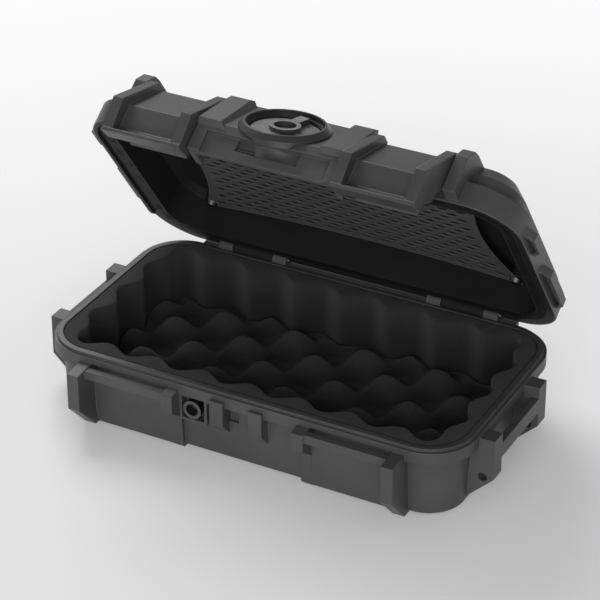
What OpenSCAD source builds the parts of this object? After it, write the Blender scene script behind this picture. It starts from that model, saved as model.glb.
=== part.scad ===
// Small hard case: a moulded base and a hinged lid held open, two bevelled latches,
// a purge valve on the lid's front hood, a foam liner with an egg-crate pad, and a net in the lid.
// X runs along the hinge, Y from the latches to the hinge, Z up. The origin is on the floor,
// under the centre of the base's rim. The lid's pieces are drawn closed and then swung open.

/* [Case] */
// Width of the rim, along the hinge
case_w = 232; // [224:1:270]
// Depth of the rim, latches to hinge
case_d = 128; // [120:1:160]
// Height of the base up to its rim
base_h = 41; // [40:1:60]
// Height of the lid above the rim
lid_h = 26; // [25:1:32]
// Radius of the rim's corners
corner_r = 25; // [21:1:32]
// Angle at which the lid stands open, in degrees
lid_open = 54; // [0:1:95]

/* [Base] */
// Height of the flange round the rim
flange_h = 8; // [7.5:0.5:9]
// Overhang of the flange past the body
body_in = 4; // [3:0.5:4.5]
// Draft of the body over its height
draft = 2; // [1:0.5:2.5]
// Width of the rim, from its edge to the hollow
land_in = 9; // [8.5:0.5:11]
// Thickness of the floor
floor_t = 3; // [2:0.5:5]
// Height of the rails under the floor
foot_h = 1.5; // [1:0.5:3]
// Width of a rail and of the rib over it
rail_w = 6; // [4:0.5:7]

/* [Latch bays] */
// Distance from the middle of the case to the middle of a bay
bay_c = 61.3; // [60.5:0.1:63]
// Clear width of a bay
bay_w = 44; // [42:0.5:45]
// Thickness of the ears beside a bay
ear_t = 6.4; // [5:0.2:7]
// Reach of the outer ears past the rim
ear_out = 12.5; // [11:0.5:14]
// Reach of the inner ears past the rim
inner_ear_out = 7; // [6.5:0.5:8]
// Depth of the catch bar
bar_d = 4; // [3.5:0.1:4.2]
// Height of the catch bar
bar_h = 4.7; // [4:0.1:5]

/* [Latches] */
// Turn between the locked latch and the latch as it rests, in degrees
latch_free = 14; // [13:1:16]
// Turn of the hook for each degree of the lever
hook_share = 0.6; // [0.5:0.05:0.7]
// Thickness of the lever's side plates
plate_t = 5.4; // [4:0.2:6]
// Thickness of the lever's front
lever_t = 3.5; // [2.5:0.5:3.5]
// Gap between the lever and each side of its bay
lever_gap = 0.5; // [0.4:0.1:1]
// Radius of the latch pin
latch_pin_r = 1.75; // [1.5:0.05:2]
// Radius of the hook pin
hook_pin_r = 1.5; // [1.25:0.05:1.75]

/* [Hood and valve] */
// Reach of the hood past the rim
hood_out = 26; // [25:0.5:27]
// Wall of the hood
hood_wall = 3; // [2.5:0.5:3.5]
// Radius of the valve's bezel
bezel_r = 22.4; // [21.4:0.1:23.4]
// Radius of the valve's dial
dial_r = 17.4; // [15:0.2:17.6]
// Height of the bezel over the hood
bezel_h = 3.4; // [2.4:0.2:5]

/* [Strap brackets] */
// Length of a strap bracket
bracket_l = 62; // [50:1:66]
// Reach of a bracket past the rim
bracket_out = 8; // [7.5:0.5:9]
// Radius of the holes in a bracket
strap_hole_r = 2.35; // [1.5:0.05:2.6]

/* [Hinge] */
// Distance from the middle of the case to the middle of a hinge
hinge_c = 61; // [50:1:66]
// Radius of the hinge pins
hinge_pin_r = 1.3; // [1:0.05:1.6]
// Radius of the knuckles
knuckle_r = 3.6; // [3.2:0.1:3.8]

/* [Foam and net] */
// Depth of the waves in the liner, from the mean to a crest
wave_amp = 3; // [1:0.5:3.5]
// Number of waves round the liner
wave_count = 22; // [12:1:28]
// Height of the pad's crests over its base
dome_h = 8; // [4:0.5:10]
// Pitch of the pad's crests along X
dome_pitch = 41; // [30:0.5:50]
// Rows of slots in the net
net_rows = 19; // [8:1:20]
// Slots in each row of the net
net_slots = 15; // [8:1:15]

/* [Hidden] */
$fn = 48;

// Overrun of a cut past the face that it opens, and bite of one piece of a solid into the next
cut = 1;
// Gap between soft or loose pieces and what is beside them
fit_gap = 0.3;
// Radial clearance of a pin in a turning bore
run_gap = 0.06;

case_black = [0.13, 0.13, 0.135];
foam_grey = [0.2, 0.19, 0.185];
steel_grey = [0.62, 0.62, 0.63];
seal_black = [0.05, 0.05, 0.05];
net_grey = [0.25, 0.25, 0.25];

// Heights of the base
flange_z = base_h - flange_h;
ledge_drop = 1.5;
ledge_z = base_h - ledge_drop;
floor_z = foot_h + floor_t;
front_y = -case_d / 2;
back_y = case_d / 2;

// Rim of the base: a tongue stands inside the edge, and the liner's lip lies inside the tongue
tongue_in = 1.7;
lip_seat_in = 4.7;
lip_t = 2.7;
lip_z = base_h - lip_t;

// Bay walls, the slot behind the catch bar, and the bar
bay_in = 2.4;
bay_draft = 1;
slot_in = 6;
slot_drop = 4.5;
slot_top = base_h - slot_drop;
slot_h = 8.5;
slot_low = slot_top - slot_h;
bar_out = 6;
bar_drop = 5.3;
bar_top = base_h - bar_drop;
bar_low = bar_top - bar_h;
bar_back_y = front_y - bar_out + bar_d;

// Ears: their faces, and the slope under them
ear_drop = 5.5;
ear_top = base_h - ear_drop;
ear_h = 20;
ear_low = ear_top - ear_h;
ear_toe_in = 2;
inner_ear_h = 9.5;
inner_ear_low = ear_top - inner_ear_h;
inner_ear_slope = 7;
inner_ear_foot = inner_ear_low - inner_ear_slope;
rib_out_in = 2.5;
rail_x = [-bay_c - bay_w / 2 - ear_t / 2, -bay_c + bay_w / 2 + ear_t / 2, 0,
          bay_c - bay_w / 2 - ear_t / 2, bay_c + bay_w / 2 + ear_t / 2];
rail_end_in = 8;

// Two blocks and the boxed lock bush on the front of the base
block_c = 10.7;
block_w = 7.4;
block_out = 2.5;
block_drop = 4;
block_top = base_h - block_drop;
block_h = 13;
block_low = block_top - block_h;
block_slope = 7;
block_foot = block_low - block_slope;
lock_x = -25;
lock_drop = 13.5;
lock_z = base_h - lock_drop;
lock_box_w = 15.4;
lock_box_h = 15;
lock_wall = 1.4;
lock_floor_in = 5;
bush_r = 5;
bush_bore_r = 3.3;
bush_l = 6;
notch_x = -4.6;
notch_w = 5.5;
notch_h = 9;
notch_d = 1.5;
notch_drop = 13;
notch_z = base_h - notch_drop;

// Strap brackets
bracket_y = -5.5;
bracket_ear_l = 9;
bracket_drop = 2.7;
bracket_top = base_h - bracket_drop;
bracket_h = 21.8;
bracket_low = bracket_top - bracket_h;
bracket_foot = 3;
bracket_bar_t = 3.6;
bracket_bar_h = 8;
bracket_bar_drop = 5.8;
bracket_bar_top = bracket_top - bracket_bar_drop;
strap_hole_in = 5.9;

// Lid
lid_over = 1.2;
rim_gap = 0.4;
lid_z = base_h + rim_gap;
lid_top = base_h + lid_h;
skirt_gap = 0.4;
lid_flange_h = 11;
lid_body_in = 4;
lid_draft = 1;
bevel_h = 7;
groove_in = 4.8;
groove_w = 4;
groove_h = 2;
lip_w = 1.4;
lid_hollow_in = groove_in + groove_w + lip_w;
roof_t = 3.5;
roof_bevel = 4;
relief_in = 7;
bay_recess_in = 0.5;
bay_recess_h = 3;
relief_z = lid_z + lid_flange_h;
relief_down = 3.4;
panel_in = 34;
panel_d = 1;
skirt_back = 20;

bump_out = 4.6;
bump_wall = 1.6;
bump_run = 6;
bump_h = 5.4;
bump_top = lid_z + bump_h;
// Centre and half length of each bumper along the side
bumpers = [[-31.5, 12.5], [17, 22]];

// Hood on the front of the lid, in the closed lid's Y and Z
hood_half = bay_c - bay_w / 2;
hood_y = front_y - hood_out;
hood_drop = 16.5;
hood_low = base_h - hood_drop;
bend_drop = 0.5;
hood_bend = base_h - bend_drop;
bevel_angle = 45;
hood_top_y = front_y - 2 * cut;
hood_top = hood_bend + hood_top_y - hood_y;
cheek_gap = 2.5;
cheek_back_y = front_y - ear_out + cheek_gap;
shoulder_in = 24;
shoulder_run = 5;
shoulder_h = 2.6;
window_half = 16.5;
window_drop = 11.6;
window_low = base_h - window_drop;
window_h = 6.4;
window_top = window_low + window_h;
face_side = 6.3;
face_half = hood_half - face_side;
face_d = 2.4;

// Lid ears beside the bays
lid_ear_out = 10.5;
lid_ear_drop = 7;
lid_ear_top_z = lid_top - lid_ear_drop;
lid_ear_back = 14;

// Latch lever, in the closed lid's Y and Z, as it rests
pivot_out = 6.2;
pivot_y = front_y - pivot_out;
pivot_up = 10;
pivot_z = base_h + pivot_up;
barrel_r = 4.3;
lever_y = hood_y;
lever_low_drop = 15;
lever_low = base_h - lever_low_drop;
lever_bend_drop = 2;
lever_bend = base_h - lever_bend_drop;
lever_top_out = 6;
lever_top_y = front_y - lever_top_out;
lever_rise = lever_top_y - lever_y;
lip_out = 6;
lip_drop = 20.5;
lip_low = base_h - lip_drop;
lip_thick = 1.8;
plate_out = 5.5;
plate_lean = 2.5;
plate_end = 3.5;
hook_out = 17.5;
hook_y = front_y - hook_out;
hook_drop = 5;
hook_z = base_h - hook_drop;
hook_barrel_r = 3.6;
hook_gap = 0.4;
jaw_t = 3.5;
jaw_gap = 0.3;
jaw_tip_y = bar_back_y + jaw_gap - cut / 2;
latch_pin_end = 4.7;
hook_pin_in = 1.6;

// Valve on the hood's bevel: heights are measured out of the bevel
valve_up = 12.6;
valve_y = hood_y + valve_up * sin(bevel_angle);
valve_z = hood_bend + valve_up * sin(bevel_angle);
bezel_top_r = 19.9;
bezel_foot = 0.8;
bezel_in_r = 18.9;
collar_wall = 1.3;
pocket_r = dial_r + fit_gap + collar_wall;
pocket_wall = 1.4;
pad_r = pocket_r + pocket_wall;
pad_t = 5.4;
pocket_d = 3.4;
sleeve_r = 13.5;
sleeve_l = 18;
barrel_l = 9.5;
valve_barrel_r = 10;
plenum_r = 9;
plenum_d = 12.5;
duct_r = 1.8;
duct_up = 5;
duct_z = base_h + duct_up;
duct_in = 12;
duct_y = valve_y + duct_in;
body_disc_t = 1.1;
membrane_r = 6;
membrane_t = 0.6;
membrane_d = 8;
seal_ring_r = 9.5;
seal_cord_r = 0.45;
dial_low = -2;
dial_top = -1;
dial_step = 0.9;
dial_rim = 0.9;
step_turns = [[-79, -28], [-8, 74]];
hub_r = 7.6;
hub_in_r = 5.5;
hub_h = 3.2;
tab_w = 5.6;
tab_l = 16.4;
tab_turn = 82;
stem_r = 4;
stem_end = -7;

// Hinge axis, in the closed lid's Y and Z
hinge_y = back_y + lid_over;
hinge_z = lid_z;
hinge_ledge = 2.5;
lid_knuckle_l = 23;
base_knuckle_l = 8;
knuckle_gap = 0.5;
hinge_half = lid_knuckle_l / 2 + knuckle_gap + base_knuckle_l;

// Foam: the liner's walls stand on the pad's flat border
pad_base = 4;
pad_top = floor_z + pad_base;
liner_in = land_in + fit_gap;
wave_in = 13;
wave_steps = 8;
dome_row = 17;
dome_shift = 0.9;
dome_nx = 44;
dome_ny = 20;
dome_edge = 3;
dome_half_x = case_w / 2 - wave_in - wave_amp - fit_gap;
dome_half_y = case_d / 2 - wave_in - wave_amp - fit_gap;
dome_corner_r = corner_r - wave_in - wave_amp - fit_gap;

// Net, held by a screw in each corner
net_up = 15;
net_z = base_h + net_up;
net_t = 0.8;
net_in_x = 24;
net_in_y = 12;
net_x = case_w / 2 - net_in_x;
net_y = case_d / 2 - net_in_y;
net_bow_x = 12.8;
net_bow_y = 6.5;
net_steps = 8;
net_corner = 5;
slot_share_x = 0.54;
slot_share_y = 0.54;
slot_field_x = 2 * (net_x - net_bow_x) - net_in_y;
slot_field_y = 2 * (net_y - net_bow_y) - net_in_y;
row_shift_share = 0.5;
screw_in = 4;
screw_x = net_x - screw_in;
screw_y = net_y - screw_in;
screw_r = 1.3;
screw_l = 7;
head_r = 3.3;
head_h = 1.9;
post_r = 4.2;

// Corner centres of the rim
corner_x = case_w / 2 - corner_r;
corner_y = case_d / 2 - corner_r;

// Rounded rectangle, as squares and quarter discs
module rounded_rect(w, d, r) {
    square([w - 2 * r, d], center = true);
    square([w, d - 2 * r], center = true);
    for (x = [-1, 1], y = [-1, 1])
        translate([x * (w / 2 - r), y * (d / 2 - r)])
            circle(r);
}

// The rim's outline, moved inwards
module outline(inset) {
    rounded_rect(case_w - 2 * inset, case_d - 2 * inset, corner_r - inset);
}

// A slab of the rim's outline between two heights
module slab(inset, z0, z1) {
    translate([0, 0, z0])
        linear_extrude(z1 - z0)
            outline(inset);
}

// A ring of the rim's outline between two insets
module rim_ring(outer, inner, z0, z1) {
    translate([0, 0, z0])
        linear_extrude(z1 - z0)
            difference() {
                outline(outer);
                outline(inner);
            }
}

// A polygon of Y and Z points, run along X about x0
module prism_x(x0, len, pts) {
    translate([x0, 0, 0])
        rotate([90, 0, 90])
            linear_extrude(len, center = true)
                polygon(pts);
}

// A polygon of X and Z points, run along Y about y0
module prism_y(y0, len, pts) {
    translate([0, y0, 0])
        rotate([90, 0, 0])
            linear_extrude(len, center = true)
                polygon(pts);
}

// A rod along X about x0
module rod_x(x0, y, z, len, r) {
    translate([x0, y, z])
        rotate([0, 90, 0])
            cylinder(h = len, r = r, center = true);
}

// A block of the rim's outline whose inset changes from in0 at z0 to in1 at z1
module drafted(in0, in1, z0, z1) {
    for (x = [-1, 1], y = [-1, 1])
        translate([x * corner_x, y * corner_y, z0])
            cylinder(h = z1 - z0, r1 = corner_r - in0, r2 = corner_r - in1);
    prism_x(0, 2 * corner_x, [
        [front_y + in0, z0], [back_y - in0, z0],
        [back_y - in1, z1], [front_y + in1, z1]
    ]);
    prism_y(0, 2 * corner_y, [
        [-case_w / 2 + in0, z0], [case_w / 2 - in0, z0],
        [case_w / 2 - in1, z1], [-case_w / 2 + in1, z1]
    ]);
}

// Turns what is drawn about an axis along X
module about(y, z, angle) {
    translate([0, y, z])
        rotate([angle, 0, 0])
            translate([0, -y, -z])
                children();
}

// Swings the closed lid's pieces open
module opened() {
    about(hinge_y, hinge_z, -lid_open)
        children();
}

// Puts a piece on the valve's axis, with Z out of the hood's bevel
module at_valve() {
    translate([0, valve_y, valve_z])
        rotate([bevel_angle, 0, 0])
            children();
}

// Walls, rails and ribs of the base
module base_walls() {
    drafted(body_in + draft, body_in, foot_h, flange_z);
    slab(0, flange_z, ledge_z);
    rim_ring(tongue_in, lip_seat_in, ledge_z - cut, base_h);
    translate([-corner_x, back_y - cut, flange_z])
        cube([2 * corner_x, cut + hinge_ledge, flange_h]);
    for (x = rail_x)
        prism_x(x, rail_w, [
            [front_y + rail_end_in, 0], [back_y - rail_end_in, 0],
            [back_y - rail_end_in, floor_z], [front_y + rail_end_in, floor_z]
        ]);
    for (s = [-1, 1])
        prism_x(s * bay_c, bay_w + 2 * cut, [
            [front_y + bay_in + bay_draft, foot_h], [front_y + bay_in, flange_z + cut],
            [front_y + land_in, flange_z + cut], [front_y + land_in, foot_h]
        ]);
}

// Ears on both sides of the bays, and the bars that the hooks catch
module base_ears() {
    for (s = [-1, 1]) {
        prism_x(s * (bay_c + bay_w / 2 + ear_t / 2), ear_t, [
            [front_y - ear_out, ear_low], [front_y - ear_out, ear_top],
            [front_y, ear_top + cut], [front_y + land_in, ear_top + cut],
            [front_y + land_in, 0], [front_y + ear_toe_in, 0]
        ]);
        prism_x(s * (bay_c - bay_w / 2 - ear_t / 2), ear_t, [
            [front_y - inner_ear_out, inner_ear_low], [front_y - inner_ear_out, ear_top],
            [front_y, ear_top + cut], [front_y + land_in, ear_top + cut],
            [front_y + land_in, inner_ear_foot], [front_y + rib_out_in, inner_ear_foot]
        ]);
        prism_x(s * (bay_c - bay_w / 2 - ear_t / 2), rail_w, [
            [front_y + rib_out_in, inner_ear_foot + cut], [front_y + rib_out_in + bay_draft, foot_h],
            [front_y + rib_out_in + bay_draft + foot_h, 0], [front_y + land_in, 0],
            [front_y + land_in, inner_ear_foot + cut]
        ]);
        prism_x(s * bay_c, bay_w + 2 * cut, [
            [front_y - bar_out, bar_low], [front_y - bar_out, bar_top],
            [bar_back_y, bar_top], [bar_back_y, bar_low]
        ]);
    }
}

// Two tapered blocks and the lock's box between the bays
module base_front() {
    for (s = [-1, 1])
        prism_x(s * block_c, block_w, [
            [front_y - block_out, block_low], [front_y - block_out, block_top],
            [front_y + land_in, block_top], [front_y + land_in, block_foot],
            [front_y + body_in, block_foot]
        ]);
    translate([lock_x - lock_box_w / 2, front_y, lock_z - lock_box_h / 2])
        cube([lock_box_w, land_in, lock_box_h]);
}

// Two ears and a bar for a strap, on one side
module strap_bracket() {
    out_x = case_w / 2 + bracket_out;
    root_x = case_w / 2 - land_in;
    ear_y = bracket_l / 2 - bracket_ear_l / 2;
    for (s = [-1, 1])
        prism_y(bracket_y + s * ear_y, bracket_ear_l, [
            [root_x, bracket_foot], [case_w / 2 - body_in - draft, bracket_foot],
            [out_x, bracket_low], [out_x, bracket_top], [root_x, bracket_top]
        ]);
    translate([out_x - bracket_bar_t, bracket_y - ear_y, bracket_bar_top - bracket_bar_h])
        cube([bracket_bar_t, 2 * ear_y, bracket_bar_h]);
}

// Knuckles of one hinge leaf, with the web that carries them down to web_z
module knuckles(x0, len, web_y, web_z) {
    rod_x(x0, hinge_y, hinge_z, len, knuckle_r);
    prism_x(x0, len, [
        [web_y - 2 * cut, web_z], [web_y, web_z],
        [hinge_y + knuckle_r, hinge_z], [web_y - 2 * cut, hinge_z]
    ]);
}

// Centres of the base's knuckles
function base_knuckle_x(s, t) = s * hinge_c + t * (hinge_half - base_knuckle_l / 2);

module base_shell() {
    color(case_black)
        difference() {
            union() {
                base_walls();
                base_ears();
                base_front();
                strap_bracket();
                mirror([1, 0, 0])
                    strap_bracket();
                for (s = [-1, 1], t = [-1, 1])
                    knuckles(base_knuckle_x(s, t), base_knuckle_l, back_y, flange_z);
            }
            slab(land_in, floor_z, base_h + 2 * cut);
            slab(lip_seat_in, lip_z, base_h + 2 * cut);
            for (s = [-1, 1]) {
                translate([s * bay_c - bay_w / 2, front_y - cut, slot_low])
                    cube([bay_w, slot_in + cut, slot_top - slot_low]);
                translate([s * (case_w / 2 + bracket_out - strap_hole_in), bracket_y, bracket_low])
                    rotate([90, 0, 0])
                        cylinder(h = bracket_l + 2 * cut, r = strap_hole_r, center = true);
                rod_x(s * hinge_c, hinge_y, hinge_z, lid_knuckle_l + 2 * knuckle_gap,
                      knuckle_r + knuckle_gap);
                rod_x(s * hinge_c, hinge_y, hinge_z, 2 * hinge_half + 2 * cut, hinge_pin_r);
            }
            translate([lock_x - lock_box_w / 2 + lock_wall, front_y - cut,
                       lock_z - lock_box_h / 2 + lock_wall])
                cube([lock_box_w - 2 * lock_wall, lock_floor_in + cut, lock_box_h - 2 * lock_wall]);
            translate([notch_x - notch_w / 2, front_y + body_in - cut, notch_z - notch_h / 2])
                cube([notch_w, cut + notch_d + draft / 2, notch_h]);
        }
}

// Steel bush in the lock's box
module lock_bush() {
    color(steel_grey)
        translate([lock_x, front_y + lock_floor_in, lock_z])
            rotate([90, 0, 0])
                difference() {
                    cylinder(h = bush_l, r = bush_r);
                    translate([0, 0, -cut])
                        cylinder(h = bush_l + 2 * cut, r = bush_bore_r);
                }
}

// Points along a rounded rectangle, moved inwards by a cosine wave, with steps points a wave
function path_length(w, d, r) = 2 * (w - 2 * r) + 2 * (d - 2 * r) + 2 * PI * r;

// Place and outward direction at the distance s along the outline of half sizes a and b
// beside corners of radius r, from the middle of the right side and anticlockwise
function quarter(s, a, b, r) =
    s < b ? [a + r, s, 0]
    : s < b + r * PI / 2
        ? [a + r * cos((s - b) / r * 180 / PI), b + r * sin((s - b) / r * 180 / PI), (s - b) / r * 180 / PI]
        : [a - (s - b - r * PI / 2), b + r, 90];
function wave_point(s, a, b, r, total) =
    let (quarter_l = total / 4,
         k = floor(s / quarter_l),
         u = s - k * quarter_l,
         back = k % 2 == 1,
         q = quarter(back ? quarter_l - u : u, a, b, r),
         shift = wave_amp * cos(360 * wave_count * s / total),
         x = q[0] + shift * cos(q[2]),
         y = q[1] + shift * sin(q[2]))
    [(k == 1 || k == 2) ? -x : x, (k == 2 || k == 3) ? -y : y];
function wave_outline(inset) =
    let (w = case_w - 2 * inset,
         d = case_d - 2 * inset,
         r = corner_r - inset,
         total = path_length(w, d, r),
         count = wave_count * wave_steps)
    [for (i = [0 : count - 1]) wave_point(i * total / count, w / 2 - r, d / 2 - r, r, total)];

// Foam walls with upright waves, under a flat lip that lies on the rim
module foam_liner() {
    color(foam_grey)
        difference() {
            union() {
                slab(liner_in, pad_top + fit_gap, lip_z + cut);
                slab(lip_seat_in + fit_gap, lip_z + fit_gap, base_h);
            }
            translate([0, 0, floor_z])
                linear_extrude(base_h)
                    polygon(wave_outline(wave_in));
        }
}

// How far a point lies inside the field's border, which has round corners
function border_depth(x, y) =
    let (over_x = abs(x) - dome_half_x + dome_corner_r,
         over_y = abs(y) - dome_half_y + dome_corner_r)
    over_x > 0 && over_y > 0
        ? dome_corner_r - norm([over_x, over_y])
        : dome_corner_r - max(over_x, over_y);

// Height of the egg-crate over the pad's base: crests in staggered rows, level at the pad's border
function dome_z(x, y) =
    let (fade = min(1, max(0, border_depth(x, y) / dome_edge)))
    pad_top + fade * dome_h / 2
        * (1 + dome_shift * cos(180 * x / (dome_pitch / 2)) * cos(180 * (y - dome_row) / dome_row));

function dome_point(i, j, low) =
    let (x = -dome_half_x + 2 * dome_half_x * i / dome_nx,
         y = -dome_half_y + 2 * dome_half_y * j / dome_ny)
    [x, y, low ? pad_top - cut : dome_z(x, y)];

// Egg-crate field, as a closed skin over a flat underside
module dome_field() {
    nx = dome_nx + 1;
    ny = dome_ny + 1;
    top = [for (j = [0 : dome_ny], i = [0 : dome_nx]) dome_point(i, j, false)];
    low = [for (j = [0 : dome_ny], i = [0 : dome_nx]) dome_point(i, j, true)];
    n = len(top);
    corners = [0, nx - 1, nx * ny - 1, nx * (ny - 1)];
    rim = concat(
        [for (i = [0 : nx - 1]) i],
        [for (j = [1 : ny - 1]) j * nx + nx - 1],
        [for (i = [nx - 2 : -1 : 0]) (ny - 1) * nx + i],
        [for (j = [ny - 2 : -1 : 1]) j * nx]
    );
    rim_low = [for (k = corners) low[k]];
    points = concat(top, rim_low);
    tops = [for (j = [0 : ny - 2], i = [0 : nx - 2], h = [0, 1])
        let (p = j * nx + i)
        h == 0 ? [p, p + nx, p + nx + 1] : [p, p + nx + 1, p + 1]];
    front = [for (i = [0 : nx - 2]) [n, i, i + 1]];
    right = [for (j = [0 : ny - 2]) [n + 1, j * nx + nx - 1, (j + 1) * nx + nx - 1]];
    back = [for (i = [0 : nx - 2]) [n + 2, (ny - 1) * nx + i + 1, (ny - 1) * nx + i]];
    left = [for (j = [0 : ny - 2]) [n + 3, (j + 1) * nx, j * nx]];
    ends = [
        [n, nx - 1, n + 1], [n + 1, nx * ny - 1, n + 2],
        [n + 2, nx * (ny - 1), n + 3], [n + 3, 0, n]
    ];
    polyhedron(points, concat(tops, front, right, back, left, ends,
                              [[n, n + 1, n + 2], [n, n + 2, n + 3]]));
}

module foam_pad() {
    color(foam_grey)
        union() {
            slab(liner_in, floor_z, pad_top);
            dome_field();
        }
}

// A steel pin through each hinge
module hinge_pins() {
    color(steel_grey)
        for (s = [-1, 1])
            rod_x(s * hinge_c, hinge_y, hinge_z, 2 * hinge_half, hinge_pin_r);
}

// Outside of the lid: skirt, flange, drafted body and bevelled top
module lid_outside() {
    slab(-lid_over, lid_z, relief_z);
    difference() {
        rim_ring(-lid_over, tongue_in - skirt_gap, ledge_z + rim_gap, lid_z + cut);
        translate([-case_w, back_y - skirt_back, 0])
            cube([2 * case_w, case_d, lid_top]);
    }
    drafted(lid_body_in, lid_body_in + lid_draft, relief_z - cut, lid_top - bevel_h);
    drafted(lid_body_in + lid_draft, lid_body_in + lid_draft + bevel_h, lid_top - bevel_h, lid_top);
}

// Hood over the valve, with raised shoulders beside it
module hood_solid() {
    prism_x(0, 2 * hood_half, [
        [hood_y, hood_low], [hood_y, hood_bend], [hood_top_y, hood_top],
        [front_y + lid_hollow_in, hood_top], [front_y + lid_hollow_in, lid_z], [front_y, lid_z],
        [cheek_back_y, lid_z], [cheek_back_y, hood_low]
    ]);
    for (s = [0, 1])
        mirror([s, 0, 0])
            shoulder();
    intersection() {
        at_valve()
            translate([0, 0, -pad_t])
                cylinder(h = pad_t, r = pad_r);
        prism_x(0, 2 * pad_r, [
            [hood_y, hood_low], [hood_y, lid_top], [front_y + cut, lid_top], [front_y + cut, hood_low]
        ]);
    }
}

// A raised band on the bevel, beside the valve, whose inner side slopes
module shoulder() {
    intersection() {
        prism_x(hood_half / 2, hood_half, [
            [hood_y - shoulder_h, hood_bend], [hood_y, hood_bend - shoulder_h],
            [hood_top_y, hood_top - shoulder_h], [hood_top_y - shoulder_h, hood_top + shoulder_h / 2],
            [hood_top_y - 2 * shoulder_h, hood_top]
        ]);
        at_valve()
            prism_y(0, case_d, [
                [shoulder_in, -shoulder_h], [shoulder_in + shoulder_run, 2 * shoulder_h],
                [hood_half, 2 * shoulder_h], [hood_half, -shoulder_h]
            ]);
    }
}

// Space inside the hood, open below, the recess under the bar along its face, and the window there
module hood_hollow() {
    wall_y = hood_y + face_d + hood_wall;
    prism_x(0, 2 * (hood_half - hood_wall), [
        [wall_y, hood_low - cut], [wall_y, hood_bend - hood_wall / 2],
        [front_y - lid_over - cut, hood_top - 3 * hood_wall],
        [front_y - lid_over - cut, lid_z + cut], [cheek_back_y + cut, lid_z + cut],
        [cheek_back_y + cut, hood_low - cut]
    ]);
    translate([-window_half, hood_y - cut, window_low])
        cube([2 * window_half, cut + face_d + hood_wall + cut, window_h]);
    translate([-face_half, hood_y - cut, hood_low - cut])
        cube([2 * face_half, cut + face_d, cut + window_top - hood_low]);
}

// Sleeve round the valve's barrel, joined to the lid's wall
module valve_sleeve() {
    intersection() {
        at_valve()
            translate([0, 0, -sleeve_l])
                cylinder(h = sleeve_l - pocket_d + cut, r = sleeve_r);
        prism_x(0, 2 * sleeve_r, [
            [hood_y + face_d / 2, window_low], [hood_y + face_d / 2, hood_top],
            [front_y + cut, hood_top],
            [front_y + cut, lid_z + rim_gap], [pivot_y - cut, lid_z + rim_gap],
            [valve_y, window_low]
        ]);
    }
}

// Ears on the lid beside the bays
module lid_ears() {
    for (s = [-1, 1])
        prism_x(s * (bay_c + bay_w / 2 + ear_t / 2), ear_t, [
            [front_y - lid_ear_out, lid_z], [front_y - lid_ear_out, lid_ear_top_z],
            [front_y - lid_ear_out / 2, lid_top - cut], [front_y, lid_top],
            [front_y + lid_ear_back, lid_top], [front_y + lid_ear_back, lid_z + lid_flange_h],
            [front_y, lid_z]
        ]);
}

// Thin bumpers with a hollow back, two on each side of the lid
module bumper(y0, half) {
    x0 = case_w / 2 + lid_over - cut;
    difference() {
        translate([0, y0, 0])
            linear_extrude(bump_top)
                polygon([
                    [x0, -half], [x0 + cut + bump_out, -half + bump_run],
                    [x0 + cut + bump_out, half - bump_run], [x0, half]
                ]);
        translate([0, y0, -cut])
            linear_extrude(bump_top - bump_wall + cut)
                polygon([
                    [x0 + cut, -half + 2 * bump_wall],
                    [x0 + cut + bump_out - bump_wall, -half + bump_run + bump_wall],
                    [x0 + cut + bump_out - bump_wall, half - bump_run - bump_wall],
                    [x0 + cut, half - 2 * bump_wall]
                ]);
        translate([x0 - cut, y0 - half - cut, -cut])
            cube([bump_out + 3 * cut, 2 * half + 2 * cut, lid_z + 2 * cut]);
    }
}

module lid_bumpers() {
    for (s = [0, 1], b = bumpers)
        mirror([s, 0, 0])
            bumper(b[0], b[1]);
}

// Hollow of the lid, the gasket's groove and the posts that hold the net
module lid_hollow() {
    difference() {
        union() {
            slab(lid_hollow_in, lid_z - 2 * cut, lid_top - roof_t - roof_bevel);
            drafted(lid_hollow_in, lid_hollow_in + roof_bevel,
                    lid_top - roof_t - roof_bevel, lid_top - roof_t);
        }
        for (x = [-1, 1], y = [-1, 1])
            translate([x * screw_x, y * screw_y, net_z + net_t])
                cylinder(h = lid_top, r = post_r);
    }
    rim_ring(groove_in, groove_in + groove_w, lid_z - cut, lid_z + groove_h);
}

module lid_shell() {
    color(case_black)
        opened()
            difference() {
                union() {
                    difference() {
                        union() {
                            lid_outside();
                            hood_solid();
                        }
                        hood_hollow();
                    }
                    valve_sleeve();
                    lid_ears();
                    lid_bumpers();
                    for (s = [-1, 1])
                        knuckles(s * hinge_c, lid_knuckle_l, back_y + lid_over, relief_z);
                }
                lid_hollow();
                lid_bay_cuts();
                lid_valve_cuts();
                for (s = [-1, 1], t = [-1, 1])
                    rod_x(base_knuckle_x(s, t), hinge_y, hinge_z,
                          base_knuckle_l + 2 * knuckle_gap, knuckle_r + knuckle_gap);
                for (s = [-1, 1])
                    rod_x(s * hinge_c, hinge_y, hinge_z, 2 * hinge_half + 2 * cut,
                          hinge_pin_r + run_gap);
                for (x = [-1, 1], y = [-1, 1])
                    translate([x * screw_x, y * screw_y, net_z])
                        cylinder(h = screw_l, r = screw_r);
                translate([0, 0, lid_top - panel_d])
                    linear_extrude(panel_d + cut)
                        rounded_rect(case_w - 2 * panel_in, case_d - 2 * panel_in, corner_r / 2);
            }
}

// Room for the levers, and the holes of the latch pins
module lid_bay_cuts() {
    for (s = [-1, 1]) {
        translate([s * bay_c - bay_w / 2, front_y - lid_over - cut, relief_z - relief_down])
            cube([bay_w, lid_over + cut + relief_in, lid_h]);
        translate([s * bay_c - bay_w / 2, front_y - lid_over - cut, lid_z + bay_recess_h])
            cube([bay_w, lid_over + cut + bay_recess_in, lid_flange_h - bay_recess_h]);
        latch_pin(s);
    }
}

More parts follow.
